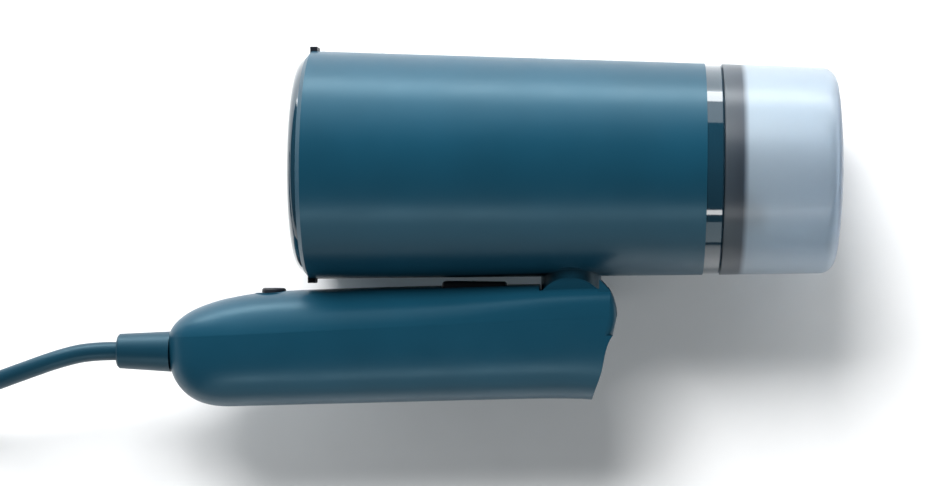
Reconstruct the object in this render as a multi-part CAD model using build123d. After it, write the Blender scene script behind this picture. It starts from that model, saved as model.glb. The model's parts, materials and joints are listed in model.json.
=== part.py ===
from build123d import *
import os
from math import cos, pi, radians, sin, sqrt, tan

# Folding handheld garment steamer with its cord, lying on its side with the handle folded in.
# All sizes are millimetres. The model is drawn about the hinge: the hinge axis is Z through
# (0, 0), the barrel's axis runs along X at Y = BARREL_Y, and the mid-plane is Z = 0. At the
# end everything moves by ORIGIN_SHIFT, so that the origin is the bottom centre of the box
# around the steamer without its cord, and the barrel's side lies on Z = 0.

# Driving dimensions: barrel
BARREL_Y = 48.7          # barrel axis above the hinge axis
FRONT_X = -88.2          # front rim of the barrel shell
FRONT_R = 37.9           # barrel radius at the front rim
TAPER = 0.0205           # radius lost per millimetre towards the tank
SHELL_REAR_X = 43.5      # rear edge of the barrel shell
RING_REAR_X = 49.0       # rear edge of the glossy lock ring
TANK_REAR_X = 89.5       # flat end of the water tank
SHELL_WALL = 2.3
TANK_WALL = 1.8
DOME_R = 162.0           # sphere of the front plate
DOME_APEX_X = -94.3
PLATE_R = 31.0           # radius of the steam plate inside its bezel
RIM_CHAMFER_X = 1.5
RIM_CHAMFER_R = 1.8

# Driving dimensions: handle
HANDLE_END_X = -133.0    # flat where the strain relief leaves
HANDLE_HALF_WIDTH = 18.2
HANDLE_WALL = 2.2
KNUCKLE_R = 15.3         # round hinge cheeks
CHEEK_IN_Z = 13.8        # inner faces of the cheeks
CHEEK_OUT_Z = 18.0
NECK_R = 12.3
NECK_HALF_X = 10.0
NECK_HALF_Z = 13.3
PIN_R = 3.0
UNFOLD_DEG = 100.0       # how far the barrel swings out of the handle
RUN_GAP = 0.05           # radial clearance of a running fit
MOVE_GAP = 0.4           # air between faces that pass each other

# Driving dimensions: cord and plug
CORD_D = 6.2
CORD_EXIT = (-150.7, -13.9, 0.0)
COIL_TURN_R = 35.0
COIL_HALF = 1.5 * CORD_D
PLUG_PIN_R = 2.4
PLUG_PIN_LENGTH = 19.0
PLUG_PIN_SPACING = 19.0

# Bottom centre of the steamer without its cord, seen from the hinge
BOX_X = (-150.7, 89.5)
BOX_Y = (-31.93, 87.9)
ORIGIN_SHIFT = (-sum(BOX_X) / 2, -sum(BOX_Y) / 2, FRONT_R)
FLOOR_Z = -FRONT_R


def barrel_r(x):
    """Outer radius of the tapered barrel."""
    return FRONT_R - TAPER * (x - FRONT_X)


def block(x0, x1, y0, y1, z0, z1):
    size = (x1 - x0, y1 - y0, z1 - z0)
    return Pos((x0 + x1) / 2, (y0 + y1) / 2, (z0 + z1) / 2) * Box(*size)


def rod_x(x0, x1, radius, y=BARREL_Y, z=0.0):
    return Pos((x0 + x1) / 2, y, z) * Rot(0, 90, 0) * Cylinder(radius, x1 - x0)


def rod_y(y0, y1, radius, x=0.0, z=0.0):
    return Pos(x, (y0 + y1) / 2, z) * Rot(90, 0, 0) * Cylinder(radius, y1 - y0)


def rod_z(z0, z1, radius, x=0.0, y=0.0):
    return Pos(x, y, (z0 + z1) / 2) * Cylinder(radius, z1 - z0)


def tube_x(x0, x1, outer, inner, y=BARREL_Y, z=0.0):
    return rod_x(x0, x1, outer, y, z) - rod_x(x0 - 1, x1 + 1, inner, y, z)


def turned(edges, y=BARREL_Y):
    """Solid of revolution about the line along X at height y, from a closed outline."""
    return revolve(make_face(edges), Axis((0, y, 0), (1, 0, 0)), 360)


def outline(*points, y=BARREL_Y):
    """Closed outline from (x, radius) points about the line along X at height y."""
    return Polyline(*[(x, y + r) for x, r in points], close=True)


def at(x, r):
    return (x, BARREL_Y + r)


def helix_spring(x0, x1, coil_r, wire_r, pitch, direction, start):
    """Compression spring from x0 to x1 along direction, measured from start."""
    path = Helix(pitch, x1 - x0 - 2 * wire_r, coil_r)
    plane = Plane(path @ 0, z_dir=path % 0)
    wire = sweep(plane * Circle(wire_r), path=path)
    base = Plane(start, z_dir=direction)
    return base * Pos(0, 0, x0 + wire_r) * wire


# ------------------------------------------------------------------ barrel


def knuckle_room():
    """Space that the handle's round cheeks turn in."""
    room = KNUCKLE_R + MOVE_GAP
    inner = CHEEK_IN_Z - MOVE_GAP
    side = rod_z(inner, CHEEK_OUT_Z + 1.5, room)
    return side + mirror(side, Plane.XY)


def head_shell():
    rear_r = barrel_r(SHELL_REAR_X)
    shell = turned(outline(
        (FRONT_X, FRONT_R - SHELL_WALL), (FRONT_X, FRONT_R - RIM_CHAMFER_R),
        (FRONT_X + RIM_CHAMFER_X, FRONT_R), (SHELL_REAR_X, rear_r),
        (SHELL_REAR_X, rear_r - SHELL_WALL),
    ))
    window = neck_boss(8, 22, 0.08)
    notches = [catch_block(side, 0.05) for side in (1, -1)]
    return shell - window - knuckle_room() - notches[0] - notches[1]


def catch_block(side, grow=0.0):
    """One brush catch: a small hook that stands out of the front rim."""
    low, high = FRONT_R - SHELL_WALL + 0.3 - grow, FRONT_R + 1.3
    x0, x1 = -87.4 - grow, -85.0 + grow
    width = 4.0 + grow
    if side > 0:
        return block(x0, x1, BARREL_Y + low, BARREL_Y + high, -width, width)
    return block(x0, x1, BARREL_Y - high, BARREL_Y - low, -width, width)


def brush_catches():
    return [catch_block(1), catch_block(-1)]


def dome_x(r):
    """X of the domed front at radius r."""
    return DOME_APEX_X + DOME_R - sqrt(DOME_R ** 2 - r ** 2)


def front_bezel():
    edge = FRONT_R - RIM_CHAMFER_R
    inner = PLATE_R + 0.15
    front = [
        Line(at(-86.4, inner), at(dome_x(inner), inner)),
        ThreePointArc(at(dome_x(inner), inner), at(-90.35, 34.4), at(FRONT_X, edge)),
        Line(at(FRONT_X, edge), at(FRONT_X, FRONT_R - SHELL_WALL - 0.1)),
        Line(at(FRONT_X, FRONT_R - SHELL_WALL - 0.1), at(-86.4, FRONT_R - SHELL_WALL - 0.1)),
        Line(at(-86.4, FRONT_R - SHELL_WALL - 0.1), at(-86.4, inner)),
    ]
    return turned(front)


STEAM_HOLE_ROWS = ((9.5, 6), (19.0, 12))   # radius of each row and how many holes it has


def steam_holes(x0, x1, radius):
    holes = []
    for row_r, count in STEAM_HOLE_ROWS:
        for i in range(count):
            turn = 2 * pi * (i + 0.5) / count
            holes.append(rod_x(x0, x1, radius, BARREL_Y + row_r * cos(turn), row_r * sin(turn)))
    return holes


def steam_plate():
    back = -88.6
    edge = dome_x(PLATE_R)
    face = [
        ThreePointArc(at(DOME_APEX_X, 0), at(dome_x(PLATE_R / 2), PLATE_R / 2), at(edge, PLATE_R)),
        Line(at(edge, PLATE_R), at(back, PLATE_R)),
        Line(at(back, PLATE_R), at(back, 27)),
        Line(at(back, 27), at(back - 1.8, 26)),
        Line(at(back - 1.8, 26), at(back - 1.8, 0)),
        Line(at(back - 1.8, 0), at(DOME_APEX_X, 0)),
    ]
    return turned(face) - steam_holes(-96, -86, 1.5)


def plate_gasket():
    return turned(outline((-88.5, 27.5), (-88.5, 30.5), (-87.1, 30.5), (-87.1, 27.5)))


CHAMBER_X = (-87.0, -69.0)
CHAMBER_R = 29.0
ELEMENT_R = 21.5         # radius of the heating element's bend
ELEMENT_TUBE_R = 3.2
WATER_Y = 34.0           # height of the pump, its tubes and the tank's valve


def element_path(tube_r):
    """Horseshoe tube about the barrel axis with two straight ends towards the rear."""
    sweep_deg = 300.0
    ring = Plane((CHAMBER_X[1], BARREL_Y, 0), x_dir=(0, 1, 0), z_dir=(1, 0, 0))
    arc = ring * CenterArc((0, 0), ELEMENT_R, 30, sweep_deg)
    tips = [arc @ 0, arc @ 1]
    tube = sweep(Plane(tips[0], z_dir=arc % 0) * Circle(tube_r), path=arc)
    return tube, tips


def heating_element():
    tube, tips = element_path(ELEMENT_TUBE_R)
    for tip in tips:
        tube += rod_x(CHAMBER_X[1] + 0.1, -58, 1.6, tip.Y, tip.Z)
    return tube


def steam_chamber():
    body = rod_x(*CHAMBER_X, CHAMBER_R)
    recess = rod_x(CHAMBER_X[0] - 1, CHAMBER_X[0] + 5, 26)
    groove, _ = element_path(ELEMENT_TUBE_R + 0.1)
    inlet = rod_x(CHAMBER_X[0] + 4, CHAMBER_X[1] + 1, 1.5, WATER_Y)
    return body - recess - groove - inlet


def heat_shield():
    cup = turned(outline(
        (-84.5, 31.2), (-84.5, 32.4), (-61.2, 32.4), (-61.2, 0), (-62.4, 0), (-62.4, 31.2),
    ))
    _, tips = element_path(ELEMENT_TUBE_R)
    for tip in tips:
        cup -= rod_x(-64, -60, 2.6, tip.Y, tip.Z)
    return cup - rod_x(-64, -60, 3.0, WATER_Y)


def thermostat():
    return rod_x(CHAMBER_X[1], CHAMBER_X[1] + 1.0, 8) + rod_x(CHAMBER_X[1] + 1.0, -64.5, 6)


def thermal_fuse():
    return rod_z(-6, 6, 2, CHAMBER_X[1] + 2.05, BARREL_Y + 11.8)


CHASSIS_Y = (20.6, 22.6)
SCREW_SPOTS = [(x, z) for x in (-14.5, 14.5) for z in (-8.0, 8.0)]


def neck_boss(y0, y1, grow=0.0):
    """Oval column between the handle and the barrel."""
    oval = Ellipse(NECK_HALF_X + grow, NECK_HALF_Z - 0.2 + grow)
    return Pos(0, y0, 0) * Rot(-90, 0, 0) * extrude(oval, y1 - y0)


def hinge_neck():
    """Barrel side of the hinge: a round knuckle, an oval neck and a foot inside the shell."""
    knuckle = rod_z(-NECK_HALF_Z, NECK_HALF_Z, NECK_R)
    foot = block(-19, 19, 18.0, 20.5, -12.5, 12.5)
    solid = knuckle + neck_boss(0, 18.4) + foot - rod_z(-20, 20, PIN_R + RUN_GAP)
    wire_way = block(-4, 4, 6.5, 25, -3, 3)
    for x, z in SCREW_SPOTS:
        solid -= rod_y(15, 25, 1.25, x, z)
    return solid - wire_way


def hinge_washers():
    """Two friction washers that hold the fold where it is put."""
    ring = rod_z(NECK_HALF_Z, CHEEK_IN_Z - 0.1, 7) - rod_z(0, 20, PIN_R + 0.15)
    return [ring, mirror(ring, Plane.XY)]


def chassis():
    plate = block(-57, 32, *CHASSIS_Y, -15.5, 15.5)
    plate += block(-45, -41, CHASSIS_Y[1], CHASSIS_Y[1] + 3.2, -11, 11)
    plate += block(-23, -19, CHASSIS_Y[1], CHASSIS_Y[1] + 3.2, -11, 11)
    plate -= block(-4, 4, 15, 25, -3, 3)
    for x, z in SCREW_SPOTS:
        plate -= rod_y(15, 25, 1.6, x, z)
    return plate


def chassis_screws():
    screws = []
    for x, z in SCREW_SPOTS:
        screws.append(rod_y(17.7, CHASSIS_Y[1], 1.25, x, z) + rod_y(CHASSIS_Y[1], 24.4, 2.6, x, z))
    return screws


PLUNGER_R = 4.0


def pump_body():
    low, high = CHASSIS_Y[1] + 3.2, 2 * WATER_Y - CHASSIS_Y[1] - 3.2
    coil = block(-47, -17, low, high, -9, 9)
    coil += rod_x(-54, -47, 3.2, WATER_Y) + rod_x(-17, -10, 3.2, WATER_Y)
    bore = rod_x(-44, -20, PLUNGER_R + RUN_GAP, WATER_Y)
    return coil - bore - rod_x(-60, 0, 1.2, WATER_Y)


def pump_plunger():
    return tube_x(-38, -28, PLUNGER_R, 1.2, WATER_Y)


def pump_springs():
    front = helix_spring(0, 5.4, 2.9, 0.35, 1.6, (1, 0, 0), (-43.9, WATER_Y, 0))
    rear = helix_spring(0, 5.4, 2.9, 0.35, 1.6, (1, 0, 0), (-25.6, WATER_Y, 0))
    return [front, rear]


def outlet_tube():
    return turned(outline(
        (-68.9, 1.2), (-68.9, 2.4), (-56.2, 2.4), (-54.6, 4.4), (-49, 4.4), (-49, 3.2),
        (-54.2, 3.2), (-54.2, 1.2), y=WATER_Y,
    ), WATER_Y)


def inlet_tube():
    return tube_x(-15, 34, 4.4, 3.2, WATER_Y)


DOCK_X = (38.0, 41.0)
SPIGOT_TIP_X = 53.1


def tank_dock():
    disc = rod_x(*DOCK_X, 32.0)
    spigot = rod_x(31, DOCK_X[0], 3.1, WATER_Y) + rod_x(DOCK_X[1], SPIGOT_TIP_X, 2.5, WATER_Y)
    return disc + spigot - rod_x(25, 60, 1.2, WATER_Y)


def dock_seal():
    return tube_x(DOCK_X[1], DOCK_X[1] + 1.6, 6.0, 2.55, WATER_Y)


def lock_ring():
    front = SHELL_REAR_X
    inner = 32.75
    return turned(outline(
        (front, barrel_r(front) - 0.3), (RING_REAR_X - 0.5, barrel_r(RING_REAR_X) - 0.3),
        (RING_REAR_X, barrel_r(RING_REAR_X) - 0.8), (RING_REAR_X, inner), (front, inner),
    ))


# ------------------------------------------------------------------ water tank


TANK_FRONT_X = RING_REAR_X + 0.3
TANK_EDGE_R = 5.0
TANK_DOME = 2.2          # how far the end bulges past its rounded edge


def tank_cup():
    rear = barrel_r(TANK_REAR_X)
    dome = TANK_DOME
    corner_x = TANK_REAR_X - dome
    dome_edge = rear - TANK_EDGE_R
    dome_r = (dome_edge ** 2 + dome ** 2) / (2 * dome)
    dome_mid = TANK_REAR_X - dome_r + sqrt(dome_r ** 2 - (dome_edge / 2) ** 2)
    front = barrel_r(TANK_FRONT_X)
    side_end = corner_x - TANK_EDGE_R
    wall = TANK_WALL
    mid = TANK_EDGE_R * (1 - cos(pi / 4))
    inner_r = TANK_EDGE_R - wall
    mid_in = wall + inner_r * (1 - cos(pi / 4))
    shape = [
        Line(at(TANK_FRONT_X, front), at(side_end, rear)),
        ThreePointArc(at(side_end, rear), at(corner_x - mid, rear - mid),
                      at(corner_x, rear - TANK_EDGE_R)),
        ThreePointArc(at(corner_x, dome_edge), at(dome_mid, dome_edge / 2), at(TANK_REAR_X, 0)),
        Line(at(TANK_REAR_X, 0), at(corner_x - wall, 0)),
        Line(at(corner_x - wall, 0), at(corner_x - wall, rear - TANK_EDGE_R)),
        ThreePointArc(at(corner_x - wall, rear - TANK_EDGE_R),
                      at(corner_x - mid_in, rear - mid_in), at(side_end, rear - wall)),
        Line(at(side_end, rear - wall), at(TANK_FRONT_X, front - wall)),
        Line(at(TANK_FRONT_X, front - wall), at(TANK_FRONT_X, front)),
    ]
    return turned(shape)


FILL_Y = BARREL_Y + 18.0
LID_X = (50.0, 52.0)


def tank_lid():
    """Front wall of the tank, with the collar that slides into the lock ring."""
    outer = barrel_r(55.0) - TANK_WALL - 0.15
    lid = turned(outline(
        (44.6, 30.6), (44.6, 32.3), (49.4, 32.3), (49.4, outer), (55.0, outer), (55.0, outer - 1.6),
        (LID_X[1], outer - 1.6), (LID_X[1], 0), (LID_X[0], 0), (LID_X[0], 30.6),
    ))
    cage = tube_x(LID_X[1], 63.5, 6.4, 5.0, WATER_Y) + tube_x(62.0, 63.5, 5.5, 1.75, WATER_Y)
    lid = lid + cage - rod_x(40, 60, 3.3, WATER_Y) - rod_x(40, 60, 5.0, FILL_Y)
    for turn in (0, 90):
        slot = block(56, 61, -10, 10, -1.6, 1.6)
        lid -= Pos(0, WATER_Y, 0) * Rot(turn, 0, 0) * slot
    return lid


def tank_seal():
    """Rubber ring that the dock presses against the tank's front wall."""
    return tube_x(43.2, LID_X[0], 9.0, 6.6, WATER_Y)


def filler_plug():
    cap = rod_x(48.2, LID_X[0], 6.8, FILL_Y)
    return cap + rod_x(LID_X[0], 53.0, 5.0, FILL_Y) + rod_x(53.0, 54.2, 4.2, FILL_Y)


def tank_valve():
    head = rod_x(SPIGOT_TIP_X + 0.1, 54.8, 4.4, WATER_Y)
    return head + rod_x(54.8, 65.5, 1.7, WATER_Y)


def valve_spring():
    return helix_spring(0, 7.0, 3.2, 0.35, 1.7, (1, 0, 0), (54.9, WATER_Y, 0))


# ------------------------------------------------------------------ handle


SECTION_U = [-16, 0, 25, 50, 75, 92, 104, 113, 120, 125.5, 129.5, 132, 133.0]
INNER_U = [25, 50, 75, 92, 104, 113, 120, 125.5, 129.5]
FRONT_INNER_U = [15.5, *INNER_U]
TIP_U = 133.9            # where the rounded tip would close
TIP_Y = -11.6


def falloff(u, start, power):
    """One at start, closing to zero at the tip like a superellipse."""
    t = max(0.0, (u - start) / (TIP_U - start))
    return (1 - t ** power) ** (1 / power)


SEAM_SLOPE = 0.0585


def seam_y(u):
    """Height of the parting plane between the handle's two shells, u back from the hinge."""
    return -1.1 - SEAM_SLOPE * u


def top_y(u):
    line = 10.0 - 0.012 * u - 0.00023 * u * abs(u)
    return TIP_Y + (line - TIP_Y) * falloff(u, 92, 2.5)


def bottom_y(u):
    line = -27.8 - 0.0365 * u - 0.0035 * max(0, 10 - u) ** 2
    return TIP_Y + (line - TIP_Y) * falloff(u, 112, 2.4)


def half_width(u):
    return (HANDLE_HALF_WIDTH - 0.012 * max(0, u)) * falloff(u, 105, 2.3)


def half_section(u, height, width, fullness, lean=0.0):
    """Rounded half section standing on the seam plane; a signed height, lean tips the sides in."""
    base = seam_y(u)
    top = base + height
    hip = base + height * fullness
    waist = width - lean * abs(height)
    right = Bezier((width, base), (waist, hip), (width * fullness, top), (0, top))
    left = Bezier((0, top), (-width * fullness, top), (-waist, hip), (-width, base))
    plane = Plane(origin=(-u, 0, 0), x_dir=(0, 0, 1), z_dir=(-1, 0, 0))
    return plane * make_face([right, left, Line((-width, base), (width, base))])


def back_section(u, inset=0.0):
    return half_section(u, bottom_y(u) - seam_y(u) + inset, half_width(u) - inset, 0.66)


def front_section(u, inset=0.0):
    """The front shell's section: rounded near the cord, squarer towards the hinge cheeks."""
    near_hinge = max(0.0, 1 - max(0.0, u) / 60)
    fullness = 0.6 + 0.26 * near_hinge ** 1.5
    lean = 0.12 * (1 - near_hinge)
    width = half_width(u) - 0.1 - inset
    return half_section(u, top_y(u) - seam_y(u) - inset, width, fullness, lean)


def end_cutter(shift=0.0):
    """Everything right of the handle's curved end."""
    points = [(6.4, -32.0), (7.2, -28.5), (9.0, -22.7), (10.3, -18.6), (11.15, -14.2),
              (12.0, -10.4), (13.9, -6.4)]
    points = [(x - shift, y) for x, y in points]
    curve = Spline(*points)
    face = make_face([
        curve, Line(points[-1], (16, 4)), Line((16, 4), (40, 4)),
        Line((40, 4), (40, -40)), Line((40, -40), (points[0][0], -40)),
        Line((points[0][0], -40), points[0]),
    ])
    return extrude(face, 30, both=True)


def neck_room():
    """Slot between the cheeks that the neck swings through."""
    depth = CHEEK_IN_Z
    room = rod_z(-depth, depth, NECK_R + MOVE_GAP)
    steps = 5
    for i in range(steps + 1):
        arm = block(-NECK_HALF_X - MOVE_GAP, NECK_HALF_X + MOVE_GAP, 0, 45, -depth, depth)
        room += Rot(0, 0, -UNFOLD_DEG * i / steps) * arm
    return room


def open_barrel():
    """The barrel where it stands when unfolded, grown by the moving gap."""
    gap = MOVE_GAP + 0.1
    cone = turned(outline(
        (FRONT_X, 0), (FRONT_X, FRONT_R + gap), (TANK_REAR_X, barrel_r(TANK_REAR_X) + gap),
        (TANK_REAR_X, 0),
    ))
    return Rot(0, 0, -UNFOLD_DEG) * cone


LIP_X = 9.3              # small lips stand up right of this, beside the neck
SHOULDER_EDGE_R = 3.5


def shoulder():
    """What the handle keeps at the hinge: all of its left, and a round end about the pin."""
    end = rod_z(-CHEEK_OUT_Z - 0.2, CHEEK_OUT_Z + 0.2, KNUCKLE_R)
    end = fillet(end.edges(), SHOULDER_EDGE_R)
    return end + block(-160, 0, -40, 20, -30, 30) + block(-1, 20, -40, -6.4, -30, 30)


def lips():
    lip = rod_z(CHEEK_IN_Z, CHEEK_IN_Z + 1.8, KNUCKLE_R - 0.2)
    lip = lip & block(LIP_X, 20, 6, 20, 0, 20)
    return lip + mirror(lip, Plane.XY)


HANDLE_SCREWS = (-58.0, -112.0)
SCREW_BOSS_R = 3.4
SCREW_DROP = 4.2         # the screw near the cord sits lower, where the handle is thinner


def handle_back_shell():
    body = (loft([back_section(u) for u in SECTION_U]) - end_cutter()) & shoulder()
    hollow = loft([back_section(u, HANDLE_WALL) for u in [-6, *INNER_U]], ruled=True)
    hollow -= end_cutter(2.4)
    shell = body - hollow
    slot_wall = rod_z(-CHEEK_OUT_Z + 3, CHEEK_OUT_Z - 3, NECK_R + 3.0) & body
    slot_wall -= block(-40, 40, seam_y(0), 40, -30, 30)
    shell += slot_wall
    for x in HANDLE_SCREWS:
        boss = rod_y(-40, seam_y(-x), SCREW_BOSS_R, x) & body
        shell += boss
    for x in HANDLE_SCREWS:
        shell -= rod_y(seam_y(-x) - 11, 0, 1.25, x)
    shell -= neck_room() + open_barrel() + pin_hole() + cord_hole()
    return shell


def pin_hole():
    return rod_z(-16, 16, PIN_R)


def cord_hole():
    return rod_x(-140, -126, 4.6, RELIEF_Y)


TRIGGER_X = (-42.7, -21.6)
TRIGGER_HALF_Z = 6.5
TRIGGER_TOP_Y = 10.6
TRIGGER_PIN = (-46.0, 3.0)
BUTTON_X = -99.0
BUTTON_R = 4.0


def handle_front_shell():
    body = loft([front_section(u) for u in SECTION_U]) & shoulder()
    hollow = loft([front_section(u, HANDLE_WALL) for u in FRONT_INNER_U], ruled=True)
    shell = body - hollow + lips()
    ears = block(-49, -43, 1.0, 8.5, 6.9, 9.4) + block(-49, -43, 1.0, 8.5, -9.4, -6.9)
    guide = rod_y(1.6, 6.0, BUTTON_R + 2.2, BUTTON_X)
    shell += (ears & body) + guide
    for x in HANDLE_SCREWS:
        shell += rod_y(seam_y(-x), 9, SCREW_BOSS_R, x) & body
    for x in HANDLE_SCREWS:
        shell -= rod_y(-30, 9, 1.6, x) + rod_y(3.4 - SCREW_DROP * (x < -100), 12, 2.9, x)
    window = block(TRIGGER_X[0] - MOVE_GAP, TRIGGER_X[1] + MOVE_GAP, 3, 14,
                   -TRIGGER_HALF_Z - MOVE_GAP, TRIGGER_HALF_Z + MOVE_GAP)
    pin_room = rod_z(-16.2, 16.2, PIN_R + 0.1)
    shell -= window + neck_room() + pin_room + rod_z(-9.5, 9.5, 1.0, *TRIGGER_PIN)
    return shell - rod_y(0, 12, BUTTON_R + 0.3, BUTTON_X) - rod_y(1, 3.6, BUTTON_R + 1.2, BUTTON_X)


def handle_screws():
    screws = []
    for x in HANDLE_SCREWS:
        seat = 3.4 - SCREW_DROP * (x < -100)
        head = rod_y(seat, seat + 1.8, 2.7, x) - Pos(x, seat + 1.8, 0) * Box(3.4, 1.6, 0.8)
        screws.append(head + rod_y(seam_y(-x) - 10.5, seat, 1.25, x))
    return screws


def screw_plugs():
    """Flush covers over the two handle screws."""
    body = loft([front_section(u, 0.05) for u in SECTION_U])
    return [rod_y(5.4 - SCREW_DROP * (x < -100), 12, 2.85, x) & body for x in HANDLE_SCREWS]


def trigger():
    plate = block(*TRIGGER_X, 6.4, TRIGGER_TOP_Y, -TRIGGER_HALF_Z, TRIGGER_HALF_Z)
    plate = fillet(plate.edges().filter_by(Axis.Y), 1.6)
    plate = fillet(plate.faces().sort_by(Axis.Y)[-1].edges(), 1.0)
    arm = block(TRIGGER_PIN[0], TRIGGER_X[0] + 2, 1.4, 5.2, -6.2, 6.2)
    barrel = rod_z(-6.2, 6.2, 2.4, *TRIGGER_PIN)
    web = block(TRIGGER_X[0] - 0.2, TRIGGER_X[0] + 2, 2.4, 7.0, -6.2, 6.2)
    rib = block(-34, -31, -0.55, 6.6, -3, 3)
    lip = block(TRIGGER_X[1] - 3, TRIGGER_X[1] + 1.4, 4.6, 6.5, -5.0, 5.0)
    return plate + arm + barrel + web + rib + lip - rod_z(-9, 9, 1.0 + RUN_GAP, *TRIGGER_PIN)


def trigger_pin():
    return rod_z(-9.2, 9.2, 1.0, *TRIGGER_PIN)


BOARD_Y = (-11.0, -9.4)


def trigger_spring():
    return helix_spring(0, 15.6, 2.2, 0.35, 2.4, (0, 1, 0), (-27.6, BOARD_Y[1], 0))


def circuit_board():
    board = block(-106, -24, *BOARD_Y, -10.5, 10.5)
    return board - rod_y(-20, 0, SCREW_BOSS_R + 0.4, HANDLE_SCREWS[0])


def board_parts():
    """Relay, capacitor and triac standing on the board, and the light under its window."""
    return [
        block(-94, -80, BOARD_Y[1], 0.0, -6, 6),
        rod_y(BOARD_Y[1], -1.0, 4.0, -72, 0),
        block(-66.5, -64.0, BOARD_Y[1], -0.5, -5, 5),
    ]


def micro_switch():
    body = block(-38.6, -30.4, BOARD_Y[1], -2.4, -3, 3)
    return body - rod_y(-5.6, 0, 1.2 + RUN_GAP, -32.5)


def switch_plunger():
    return rod_y(-4.6, -0.75, 1.2, -32.5)


def tact_switch():
    body = block(BUTTON_X - 3, BUTTON_X + 3, BOARD_Y[1], -5.6, -3, 3)
    return body - rod_y(-8.0, 0, 1.5 + RUN_GAP, BUTTON_X)


def power_button():
    cap = rod_y(0.4, 7.7, BUTTON_R, BUTTON_X)
    cap = fillet(cap.edges().sort_by(Axis.Y)[-1], 0.9)
    return cap + rod_y(1.6, 2.6, BUTTON_R + 0.8, BUTTON_X) + rod_y(-7.0, 0.4, 1.5, BUTTON_X)


RELIEF_Y = -13.9


def strain_relief():
    """Moulded cord guard: a plain taper outside, a neck through the shell, a flange inside."""
    shape = Polyline(
        (-150.7, RELIEF_Y), (-150.7, RELIEF_Y + 5.2), (-150.1, RELIEF_Y + 5.8),
        (-133.1, RELIEF_Y + 6.75), (-133.1, RELIEF_Y + 4.5), (-129.0, RELIEF_Y + 4.5),
        (-129.0, RELIEF_Y + 5.6), (-127.0, RELIEF_Y + 5.6), (-127.0, RELIEF_Y), close=True,
    )
    return revolve(make_face(shape), Axis((0, RELIEF_Y, 0), (1, 0, 0)), 360)


def cord_tail():
    """The cord inside the handle, up to where its wires part."""
    return rod_x(-127.0, -117.5, CORD_D / 2, RELIEF_Y)


def cord_clamp():
    saddle = block(-124.5, -119.5, -21.5, RELIEF_Y + 4.6, -6.5, 6.5)
    return saddle - rod_x(-126, -118, CORD_D / 2, RELIEF_Y)


# ------------------------------------------------------------------ cord and plug


COIL_CENTRE = (-272.0, -6.0)
STRAND_R = COIL_TURN_R + CORD_D      # outermost strand of the coil
CORD_Z = FLOOR_Z + CORD_D / 2

# Control points of the free cord, from the strain relief down to the floor and into the coil
CORD_ROUTE = [
    CORD_EXIT,
    (-160.0, -14.0, 0.0),
    (-170.5, -16.6, -1.2),
    (-182.5, -20.9, -4.4),
    (-197.0, -26.2, -10.2),
    (-213.5, -32.4, -19.4),
    (-231.0, -39.4, -29.4),
    (-247.0, -45.0, -34.2),
    (COIL_CENTRE[0] + 14.0, COIL_CENTRE[1] - STRAND_R - 0.2, CORD_Z),
]


def corner_radii(route):
    """Each corner's arc: 0.45 of its shorter run over the tangent of half its turn."""
    radii = []
    for before, point, after in zip(route, route[1:], route[2:]):
        run_in = Vector(*point) - Vector(*before)
        run_out = Vector(*after) - Vector(*point)
        turn = radians(run_in.get_angle(run_out))
        radii.append(0.45 * min(run_in.length, run_out.length) / tan(turn / 2))
    return radii


def cord():
    radii = corner_radii(CORD_ROUTE)
    path = FilletPolyline(*CORD_ROUTE, radius=radii)
    tube = sweep(Plane(path @ 0, z_dir=path % 0) * Circle(CORD_D / 2), path=path)
    section = pi * (CORD_D / 2) ** 2
    print("cord radii", [round(r) for r in radii])
    print("cord volume ratio", round(tube.volume / (section * path.length), 4), "length", path.length)
    return tube


def cord_coil():
    """Outer shape of the tied coil: a ring of nine strands, three wide and three high."""
    mid = FLOOR_Z + COIL_HALF
    ring = Pos(*COIL_CENTRE, mid) * (
        Cylinder(COIL_TURN_R + COIL_HALF, 2 * COIL_HALF)
        - Cylinder(COIL_TURN_R - COIL_HALF, 3 * COIL_HALF)
    )
    return fillet(ring.edges(), CORD_D / 2 - 0.1)


TIE_WIDTH = 9.0


def cord_tie():
    """Reusable strap around the coil's bundle, on the far side of the coil."""
    x, y = COIL_CENTRE
    side = COIL_HALF + 0.5
    top = COIL_HALF + 0.05
    half = TIE_WIDTH / 2
    strap = block(-side - 1.2, side + 1.2, -half, half, -COIL_HALF, top + 1.2)
    strap = fillet(strap.edges().filter_by(Axis.Y).group_by(Axis.Z)[-1], 3.0)
    strap -= block(-side, side, -TIE_WIDTH, TIE_WIDTH, -COIL_HALF - 1, top)
    return Pos(x, y + COIL_TURN_R, FLOOR_Z + COIL_HALF) * Rot(0, 0, 90) * strap


PLUG_X = COIL_CENTRE[0] - STRAND_R
PLUG_Z = FLOOR_Z + 12.8
PLUG_FROM = COIL_CENTRE[1]           # the plug's lead leaves the coil here, along +Y
PLUG_GRIP_Y = PLUG_FROM + 34.0
PLUG_FACE_Y = PLUG_FROM + 80.0


def plug_lead():
    """Last straight stretch of the cord, from the coil to the plug."""
    return rod_y(PLUG_FROM + 11.0, PLUG_GRIP_Y, CORD_D / 2, PLUG_X, PLUG_Z)


def plug_body():
    """Two-pin contour plug with a tapered, waisted grip."""
    stations = [(0.0, 4.6, 4.6), (14.0, 5.8, 5.6), (26.0, 11.5, 8.6), (40.0, 17.6, 12.2),
                (46.0, 18.0, 12.6)]
    sections = []
    for y, wide, high in stations:
        origin = (PLUG_X, PLUG_GRIP_Y + y, PLUG_Z)
        plane = Plane(origin=origin, x_dir=(1, 0, 0), z_dir=(0, 1, 0))
        sections.append(plane * RectangleRounded(2 * wide, 2 * high, 0.9 * high))
    return loft(sections)


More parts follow.
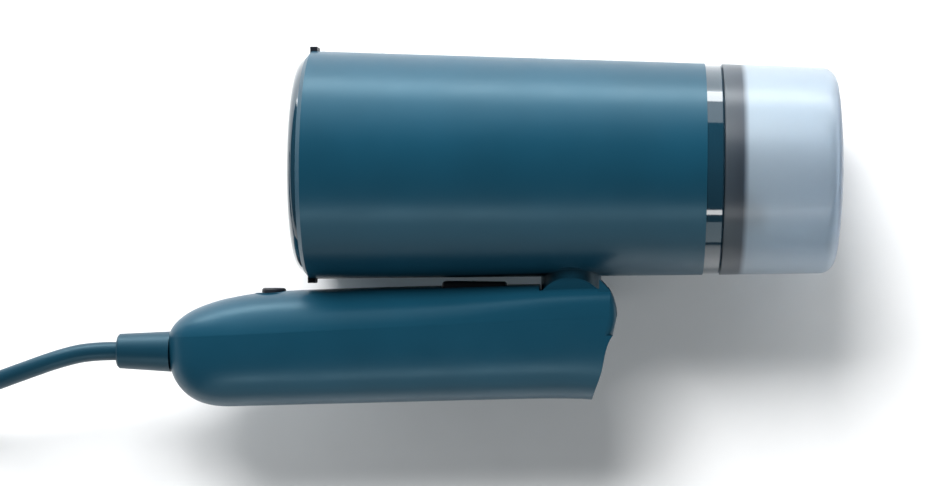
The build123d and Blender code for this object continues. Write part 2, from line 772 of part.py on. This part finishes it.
def plug_pins():
    pins = []
    for side in (-1, 1):
        x = PLUG_X + side * PLUG_PIN_SPACING / 2
        pin = rod_y(PLUG_FACE_Y, PLUG_FACE_Y + PLUG_PIN_LENGTH, PLUG_PIN_R, x, PLUG_Z)
        pins.append(fillet(pin.edges().sort_by(Axis.Y)[-1], 1.4))
    return pins


def hinge_pin():
    return rod_z(-15.9, 15.9, PIN_R)


NODES = [
    head_shell, front_bezel, steam_plate, plate_gasket, steam_chamber, heating_element,
    heat_shield, thermostat, thermal_fuse, brush_catches, hinge_neck, hinge_washers, chassis,
    chassis_screws, pump_body, pump_plunger, pump_springs, outlet_tube, inlet_tube, tank_dock,
    dock_seal, lock_ring, tank_cup, tank_lid, tank_seal, filler_plug, tank_valve, valve_spring,
    handle_back_shell, handle_front_shell, handle_screws, screw_plugs, hinge_pin, trigger, trigger_pin,
    trigger_spring, circuit_board, board_parts, micro_switch, switch_plunger, tact_switch,
    power_button, strain_relief, cord_tail, cord_clamp, cord, cord_coil, cord_tie, plug_lead,
    plug_body, plug_pins,
]


def placed(shape):
    """Move a solid, or a list of solids, to the model's own origin."""
    if isinstance(shape, list):
        solids = [solid for item in shape for solid in (Pos(*ORIGIN_SHIFT) * item).solids()]
        return Compound(children=solids)
    solids = (Pos(*ORIGIN_SHIFT) * shape).solids()
    return solids[0] if len(solids) == 1 else Compound(children=solids)


def main():
    os.makedirs("parts", exist_ok=True)
    for node in NODES:
        export_step(placed(node()), "parts/" + node.__name__ + ".step")


if __name__ == "__main__":
    main()
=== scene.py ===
import json
import math

import bpy
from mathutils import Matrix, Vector


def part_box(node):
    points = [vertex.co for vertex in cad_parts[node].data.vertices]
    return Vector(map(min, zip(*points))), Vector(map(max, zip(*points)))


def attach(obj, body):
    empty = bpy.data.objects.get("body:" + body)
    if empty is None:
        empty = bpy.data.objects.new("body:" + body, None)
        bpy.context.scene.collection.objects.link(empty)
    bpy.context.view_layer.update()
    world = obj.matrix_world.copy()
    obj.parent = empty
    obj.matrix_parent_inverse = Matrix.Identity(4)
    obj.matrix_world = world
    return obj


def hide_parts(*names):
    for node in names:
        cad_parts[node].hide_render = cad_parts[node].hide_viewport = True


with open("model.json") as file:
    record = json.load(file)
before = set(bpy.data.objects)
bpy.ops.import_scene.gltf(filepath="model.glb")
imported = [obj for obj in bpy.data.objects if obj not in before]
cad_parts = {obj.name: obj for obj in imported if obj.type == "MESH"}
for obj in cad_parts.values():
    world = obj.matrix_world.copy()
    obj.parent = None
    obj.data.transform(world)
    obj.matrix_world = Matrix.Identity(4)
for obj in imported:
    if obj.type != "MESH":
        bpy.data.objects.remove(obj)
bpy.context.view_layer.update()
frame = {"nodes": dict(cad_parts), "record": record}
MM = 0.001


# ------------------------------------------------------------------ places read from the frame

def middle(node):
    """Centre of a node's box."""
    low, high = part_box(node)
    return (Vector(low) + Vector(high)) / 2


def lows(node):
    """Lowest corner of a node's box."""
    return Vector(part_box(node)[0])


def highs(node):
    """Highest corner of a node's box."""
    return Vector(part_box(node)[1])


HINGE = middle("hinge_pin")
TANK_FRONT_X = lows("tank_cup").x
TANK_REAR_X = highs("tank_cup").x
COLLAR_WIDTH = 6.8 * MM              # the dark collar seen through the tank's wall
RIM_SHADE_WIDTH = 4.0 * MM                 # the tank's rounded far rim, where painted shade darkens the tank


# ------------------------------------------------------------------ camera

# Fitted to the photo, in metres and radians
VIEW_HEIGHT = 0.832                  # the lens above the barrel's middle plane
SEEN_WIDTH = 0.3173                  # what the picture's width covers there
LENS_SHIFT = -0.130252101            # share of that width: the lens is right of the middle
LENS_FROM_HINGE = (9.42 * MM, 23.77 * MM)
CAMERA_TURN = 0.01047                # gives the barrel its slight slant


def make_camera():
    """A lens straight above the steamer, looking down."""
    data = bpy.data.cameras.new("camera")
    data.sensor_width = 36.0
    data.lens = data.sensor_width * VIEW_HEIGHT / SEEN_WIDTH
    data.shift_x = LENS_SHIFT
    camera = bpy.data.objects.new("camera", data)
    bpy.context.collection.objects.link(camera)
    camera.location = HINGE + Vector((*LENS_FROM_HINGE, VIEW_HEIGHT))
    camera.rotation_euler = (0, 0, CAMERA_TURN)
    bpy.context.scene.camera = camera


# ------------------------------------------------------------------ materials

def new_material(name):
    material = bpy.data.materials.new(name)
    material.use_nodes = True
    nodes = material.node_tree.nodes
    shader = nodes["Principled BSDF"]
    return material, nodes, material.node_tree.links, shader


def noise(nodes, links, scale, detail=3.0, roughness=0.5):
    place = nodes.new("ShaderNodeTexCoord")
    texture = nodes.new("ShaderNodeTexNoise")
    texture.inputs["Scale"].default_value = scale
    texture.inputs["Detail"].default_value = detail
    texture.inputs["Roughness"].default_value = roughness
    links.new(place.outputs["Object"], texture.inputs["Vector"])
    return texture


def ramp(nodes, links, source, stops):
    """Colour ramp through stops, each a place from 0 to 1 and a colour."""
    colours = nodes.new("ShaderNodeValToRGB")
    while len(colours.color_ramp.elements) < len(stops):
        colours.color_ramp.elements.new(0.5)
    for element, (place, colour) in zip(colours.color_ramp.elements, stops):
        element.position = place
        element.color = (*colour, 1.0)
    links.new(source, colours.inputs["Fac"])
    return colours.outputs["Color"]


def spread_value(nodes, links, source, low, high):
    """Stretches the middle of a noise over low to high."""
    remap = nodes.new("ShaderNodeMapRange")
    remap.inputs["From Min"].default_value = 0.3
    remap.inputs["From Max"].default_value = 0.7
    remap.inputs["To Min"].default_value = low
    remap.inputs["To Max"].default_value = high
    links.new(source, remap.inputs["Value"])
    return remap.outputs["Result"]


def bump(nodes, links, shader, source, strength, distance):
    node = nodes.new("ShaderNodeBump")
    node.inputs["Strength"].default_value = strength
    node.inputs["Distance"].default_value = distance
    links.new(source, node.inputs["Height"])
    links.new(node.outputs["Normal"], shader.inputs["Normal"])


def moulded_plastic(name, colour, low_rough, high_rough, grain=0.00002, coat=0.0,
                    reflection=(1.0, 1.0, 1.0)):
    """Moulded plastic: faint colour drift, uneven sheen and a fine spark-eroded grain."""
    material, nodes, links, shader = new_material(name)
    drift = noise(nodes, links, 28, 4)
    dark = tuple(c * 0.93 for c in colour)
    light = tuple(min(1.0, c * 1.06) for c in colour)
    tone = ramp(nodes, links, drift.outputs["Fac"], [(0.35, dark), (0.65, light)])
    links.new(tone, shader.inputs["Base Color"])
    smear = noise(nodes, links, 75, 5, 0.6)
    rough = spread_value(nodes, links, smear.outputs["Fac"], low_rough, high_rough)
    links.new(rough, shader.inputs["Roughness"])
    fine = noise(nodes, links, 5200, 2, 0.5)
    bump(nodes, links, shader, fine.outputs["Fac"], 0.35, grain)
    shader.inputs["IOR"].default_value = 1.5
    shader.inputs["Specular Tint"].default_value = (*reflection, 1.0)
    shader.inputs["Coat Weight"].default_value = coat
    shader.inputs["Coat Roughness"].default_value = 0.04
    return material


def metal(name, colour, low_rough, high_rough, stretch=(1, 1, 40)):
    """Metal whose streaks run across the stretched axis."""
    material, nodes, links, shader = new_material(name)
    place = nodes.new("ShaderNodeTexCoord")
    mapping = nodes.new("ShaderNodeMapping")
    mapping.inputs["Scale"].default_value = stretch
    streaks = nodes.new("ShaderNodeTexNoise")
    streaks.inputs["Scale"].default_value = 220
    links.new(place.outputs["Object"], mapping.inputs["Vector"])
    links.new(mapping.outputs["Vector"], streaks.inputs["Vector"])
    tone = ramp(nodes, links, streaks.outputs["Fac"],
                [(0.3, tuple(c * 0.85 for c in colour)), (0.7, colour)])
    links.new(tone, shader.inputs["Base Color"])
    rough = spread_value(nodes, links, streaks.outputs["Fac"], low_rough, high_rough)
    links.new(rough, shader.inputs["Roughness"])
    shader.inputs["Metallic"].default_value = 1.0
    bump(nodes, links, shader, streaks.outputs["Fac"], 0.2, 0.00003)
    return material


def frosted(name):
    """Blasted translucent plastic: milky blue-grey, darker over the collar, with painted shade
    making the end rim darker and bluer.
    """
    material, nodes, links, shader = new_material(name)
    length = TANK_REAR_X - TANK_FRONT_X
    place = nodes.new("ShaderNodeTexCoord")
    split = nodes.new("ShaderNodeSeparateXYZ")
    links.new(place.outputs["Object"], split.inputs["Vector"])
    along = nodes.new("ShaderNodeMapRange")
    along.inputs["From Min"].default_value = TANK_FRONT_X
    along.inputs["From Max"].default_value = TANK_REAR_X
    links.new(split.outputs["X"], along.inputs["Value"])
    collar = COLLAR_WIDTH / length
    rim = 1 - RIM_SHADE_WIDTH / length
    # Colour along the tank: the collar seen through the wall, then painted shade, darker and
    # bluer, across the rounded far rim
    tone = ramp(nodes, links, along.outputs["Result"],
                [(0.0, (0.13, 0.17, 0.21)), (collar * 0.85, (0.09, 0.12, 0.16)),
                 (collar * 1.15, (0.60, 0.70, 0.78)), (rim, (0.58, 0.68, 0.77)),
                 (0.5 + rim / 2, (0.24, 0.36, 0.54)), (1.0, (0.40, 0.52, 0.66))])
    drift = noise(nodes, links, 40, 4)
    cloud = ramp(nodes, links, drift.outputs["Fac"], [(0.3, (0.93,) * 3), (0.7, (1.0,) * 3)])
    blend = nodes.new("ShaderNodeMixRGB")
    blend.blend_type = "MULTIPLY"
    blend.inputs["Fac"].default_value = 1.0
    links.new(tone, blend.inputs["Color1"])
    links.new(cloud, blend.inputs["Color2"])
    links.new(blend.outputs["Color"], shader.inputs["Base Color"])
    shader.inputs["Roughness"].default_value = 0.30
    shader.inputs["IOR"].default_value = 1.46
    shader.inputs["Transmission Weight"].default_value = 0.78
    fine = noise(nodes, links, 4200, 2, 0.5)
    bump(nodes, links, shader, fine.outputs["Fac"], 0.3, 0.00002)
    return material


TEAL_REFLECTION = (0.55, 0.86, 1.0)
POLISHED_GRAIN = 0.000002
MATERIALS = {
    "satin_blue": moulded_plastic("satin blue plastic", (0.0050, 0.042, 0.072), 0.31, 0.38,
                                  reflection=TEAL_REFLECTION),
    "gloss_blue": moulded_plastic("polished blue plastic", (0.004, 0.026, 0.044), 0.05, 0.09,
                                  POLISHED_GRAIN, coat=1.0),
    "dark_navy": moulded_plastic("polished navy plastic", (0.008, 0.03, 0.06), 0.06, 0.10,
                                 POLISHED_GRAIN, coat=0.5),
    "frosted_tank": frosted("frosted tank plastic"),
    "tank_collar": moulded_plastic("collar plastic", (0.045, 0.075, 0.105), 0.35, 0.45),
    "dark_rubber": moulded_plastic("black rubber", (0.008, 0.010, 0.014), 0.45, 0.60, 0.00003),
    "cord_blue": moulded_plastic("cord jacket", (0.005, 0.030, 0.050), 0.33, 0.45, 0.00004,
                                 reflection=TEAL_REFLECTION),
    "aluminium": metal("cast aluminium", (0.72, 0.73, 0.74), 0.30, 0.45, (1, 1, 1)),
    "steel": metal("plated steel", (0.62, 0.62, 0.62), 0.22, 0.34),
    "grey_plastic": moulded_plastic("grey plastic", (0.10, 0.105, 0.11), 0.40, 0.55),
    "white_plastic": moulded_plastic("white plastic", (0.72, 0.72, 0.70), 0.40, 0.55),
    "silicone": moulded_plastic("silicone rubber", (0.62, 0.61, 0.57), 0.35, 0.50, 0.00003),
    "board_green": moulded_plastic("circuit board", (0.01, 0.09, 0.035), 0.30, 0.45, 0.00002),
    "chrome_pin": metal("nickel plated brass", (0.80, 0.78, 0.72), 0.10, 0.20),
}


def dress_cad_nodes():
    """Gives each CAD node the material of its slot in the record."""
    for part in frame["record"]["subparts"]:
        piece = frame["nodes"][part["node"]]
        for slot in piece.material_slots:
            slot.material = MATERIALS[part["material_slot"]]


# ------------------------------------------------------------------ cord

# Millimetres, with places from the hinge as in the CAD
CORD_D = 6.2
FLOOR_Z = -37.9                      # the table
COIL_X, COIL_Y, COIL_TURN_R = -272.0, -6.0, 35.0
POINTS_PER_TURN = 18
TURNS = 7.25

# The free cord from the strain relief to the coil
CORD_ROUTE = [
    (-150.7, -13.9, 0.0),
    (-160.0, -14.0, 0.0),
    (-170.5, -16.6, -1.2),
    (-182.5, -20.9, -4.4),
    (-197.0, -26.2, -10.2),
    (-213.5, -32.4, -19.4),
    (-231.0, -39.4, -29.4),
    (-247.0, -45.0, -34.2),
    (-258.0, -47.4, -34.8),
]
# The cord from the coil to the plug: steps along Y from the coil's centre, and heights
PLUG_TAIL = [(9.0, 15.2), (22.0, 13.0), (34.0, 12.8)]

# Places in the tied bundle, (steps out, layer), in the order that the cord fills them, and the
# turn at which it starts to move to each: a strand leaves its place before the next one comes
BUNDLE = [((1, 0), None), ((0, 0), 0.6), ((-1, 0), 1.6), ((-1, 1), 2.3), ((-1, 2), 3.3),
          ((0, 2), 4.0), ((0, 1), 4.7), ((1, 1), 5.4), ((1, 2), 6.1)]
SHIFT_TURNS = 0.3


def coil_point(turn):
    """Centre of the cord after so many turns, clockwise from the side where it comes in."""
    out, layer = BUNDLE[0][0]
    for (next_out, next_layer), start in BUNDLE[1:]:
        share = min(1.0, max(0.0, (turn - start) / SHIFT_TURNS))
        share = share * share * (3 - 2 * share)
        out += (next_out - out) * share
        layer += (next_layer - layer) * share
    angle = 2 * math.pi * turn
    pull_in = math.cos(math.pi / POINTS_PER_TURN)
    radius = (COIL_TURN_R + out * CORD_D) / pull_in
    return (COIL_X - radius * math.sin(angle), COIL_Y - radius * math.cos(angle),
            FLOOR_Z + CORD_D * (layer + 0.5))


def make_cord():
    """The mains cord as one open curve, from the strain relief through the coil to the plug."""
    points = list(CORD_ROUTE)
    for step in range(int(TURNS * POINTS_PER_TURN) + 1):
        points.append(coil_point(step / POINTS_PER_TURN))
    left = COIL_X - COIL_TURN_R - CORD_D
    points += [(left, COIL_Y + along, FLOOR_Z + height) for along, height in PLUG_TAIL]
    curve = bpy.data.curves.new("mains_cord", "CURVE")
    curve.dimensions = "3D"
    curve.bevel_depth = CORD_D / 2 * MM
    curve.bevel_resolution = 6
    curve.resolution_u = 8
    spline = curve.splines.new("NURBS")
    spline.points.add(len(points) - 1)
    for point, place in zip(spline.points, points):
        point.co = (*(HINGE + Vector(place) * MM), 1.0)
    spline.order_u = 3
    spline.use_endpoint_u = True
    piece = bpy.data.objects.new("mains_cord", curve)
    bpy.context.collection.objects.link(piece)
    curve.materials.append(MATERIALS["cord_blue"])
    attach(piece, "handle")
    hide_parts("cord", "cord_coil", "plug_lead")


# ------------------------------------------------------------------ studio

def area_light(name, place, target, size_x, size_y, power, colour=(1, 1, 1)):
    """A rectangular light at place, facing target."""
    data = bpy.data.lights.new(name, "AREA")
    data.shape = "RECTANGLE"
    data.size, data.size_y = size_x, size_y
    data.energy = power
    data.color = colour
    lamp = bpy.data.objects.new(name, data)
    bpy.context.collection.objects.link(lamp)
    lamp.location = place
    aim = Vector(target) - Vector(place)
    lamp.rotation_euler = aim.to_track_quat("-Z", "Y").to_euler()
    return lamp


def make_studio():
    """White table and the lights around it."""
    bpy.ops.mesh.primitive_plane_add(size=6)
    floor = bpy.context.object
    floor.name = "floor"
    material, nodes, links, shader = new_material("floor paper")
    fine = noise(nodes, links, 60, 3)
    tone = ramp(nodes, links, fine.outputs["Fac"], [(0.3, (0.90,) * 3), (0.7, (0.92,) * 3)])
    links.new(tone, shader.inputs["Base Color"])
    shader.inputs["Roughness"].default_value = 0.9
    floor.data.materials.append(material)
    centre = (0, 0, 0.03)
    key = area_light("key", (-0.30, 0.92, 1.05), centre, 0.75, 0.55, 31)
    key.visible_glossy = False       # it only lays the shadow; the walls make the reflections
    area_light("horizon_wall", (0.0, 1.1, 0.15), centre, 2.4, 0.28, 20, (0.97, 0.99, 1.0))
    area_light("upper_glow", (0.0, 1.05, 0.56), centre, 2.4, 0.55, 7, (0.95, 0.98, 1.0))
    area_light("low_strip", (0.1, -0.62, 0.60), centre, 1.2, 0.08, 2.0)
    area_light("low_wall", (0.1, -1.1, 0.36), centre, 2.0, 0.55, 3.4, (0.80, 0.94, 1.0))
    world = bpy.data.worlds.new("studio")
    bpy.context.scene.world = world
    world.use_nodes = True
    world.node_tree.nodes["Background"].inputs["Color"].default_value = (0.9, 0.95, 1.0, 1)
    world.node_tree.nodes["Background"].inputs["Strength"].default_value = 0.07
    view = bpy.context.scene.view_settings
    view.view_transform = "Standard"
    view.look = "None"


# ------------------------------------------------------------------ assembly

make_camera()
dress_cad_nodes()
make_cord()
make_studio()
